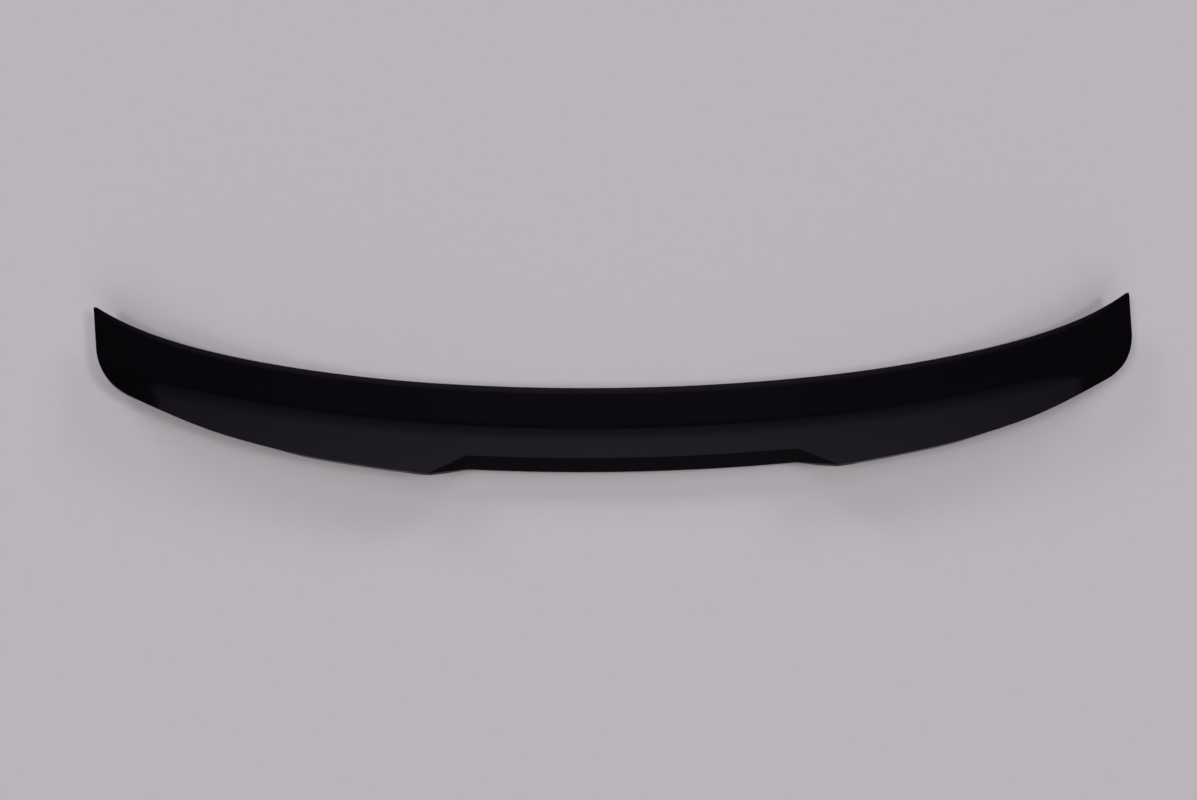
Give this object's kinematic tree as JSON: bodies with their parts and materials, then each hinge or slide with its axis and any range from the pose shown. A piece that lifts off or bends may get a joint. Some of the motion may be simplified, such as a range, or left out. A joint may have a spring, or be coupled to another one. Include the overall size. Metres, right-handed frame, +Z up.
{
  "type": "car rear spoiler",
  "caption": "Long bowed lip spoiler for a car boot lid, gloss black, with a shallow land, a kicked-up ramp and a cut-back middle between tail peaks; hollow underneath with bonding lands.",
  "frame": {"origin": "middle of the front bonding land on the underside, on the centre line", "axes": "+X to the right along the span, +Y towards the front of the car, +Z up away from the boot lid"},
  "size_m": [1.2, 0.2205, 0.0452],
  "materials": {
    "gloss_black": "moulded ABS, painted deep black and clear-coated to a mirror gloss"
  },
  "bodies": {
    "root": {"spoiler": "gloss_black"}
  },
  "joints": []
}
